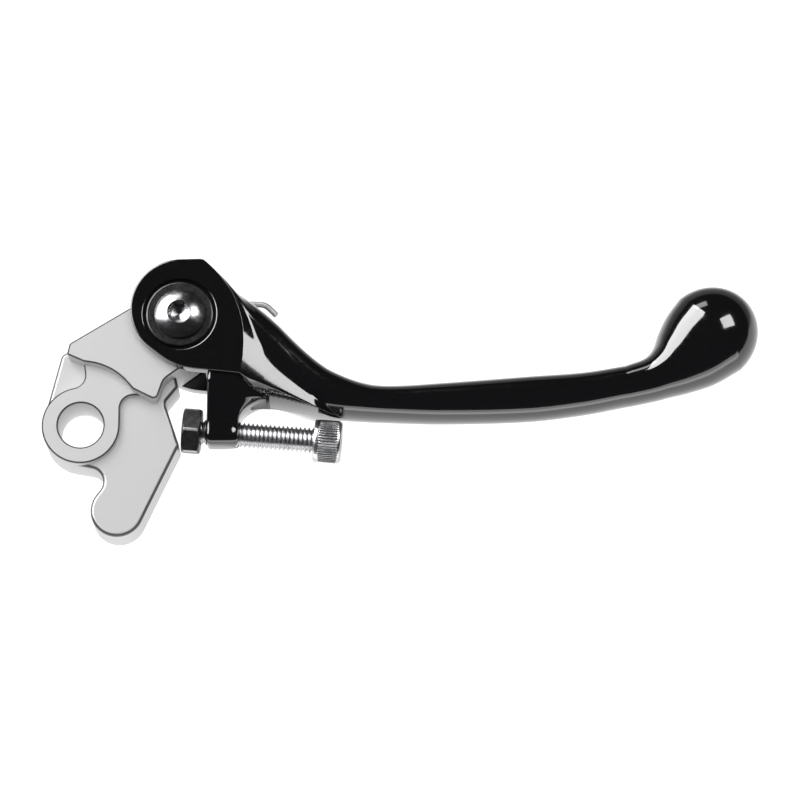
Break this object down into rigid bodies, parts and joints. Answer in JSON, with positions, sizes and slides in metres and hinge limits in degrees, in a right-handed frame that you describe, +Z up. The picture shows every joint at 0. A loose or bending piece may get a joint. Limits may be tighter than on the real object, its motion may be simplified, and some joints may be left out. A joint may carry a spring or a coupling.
{
  "type": "hand control lever",
  "caption": "Folding clutch lever: silver knuckle with a perch bore, sprung black ball-end arm, and a cap screw with lock nut as reach adjuster.",
  "frame": {"origin": "centre of the perch bore, at the middle plane of the knuckle", "axes": "+X towards the ball end, +Y away from the handlebar, +Z up along the perch bore"},
  "size_m": [0.1657, 0.0634, 0.0327],
  "materials": {
    "machined_alloy": "satin machined",
    "black_gloss": "high gloss black",
    "bright_steel": "bright zinc plate",
    "dark_steel": "black oxide",
    "plain_steel": "ground",
    "bronze": "satin",
    "nylon": "matte"
  },
  "bodies": {
    "knuckle": {"knuckle": "machined_alloy", "upper_bush": "bronze", "lower_bush": "bronze", "torsion_spring": "bright_steel"},
    "lever": {"lever_arm": "black_gloss", "pivot_sleeve": "plain_steel", "pivot_bolt": "bright_steel", "head_washer": "dark_steel", "nut_washer": "plain_steel", "pivot_nut": "bright_steel", "nylon_ring": "nylon", "upper_thrust_washer": "bronze", "lower_thrust_washer": "bronze"},
    "lock_nut": {"adjuster_lock_nut": "dark_steel"},
    "adjuster": {"adjuster_screw": "bright_steel"}
  },
  "joints": [
    {"name": "fold_hinge", "type": "hinge", "parent": "knuckle", "child": "lever", "pos_m": [0.02285, 0.0246, 0], "axis": [0, 0, 1], "range_deg": [0, 70], "stiffness_Nm_per_rad": 0.25, "springref_deg": -34.38, "deforming": ["torsion_spring"]},
    {"name": "adjuster_advance", "type": "slide", "parent": "lever", "child": "lock_nut", "axis": [0.9969, -0.0785, 0], "range_m": [0, 0.001]},
    {"name": "adjuster_turn", "type": "hinge", "parent": "lock_nut", "child": "adjuster", "pos_m": [0.0289, -0.0006, 0.0016], "axis": [0.9969, -0.0785, 0], "range_deg": [-5, 365]}
  ],
  "couplings": [
    {"joint": "adjuster_turn", "follows": "adjuster_advance", "rad_per_m": 6283.2}
  ]
}
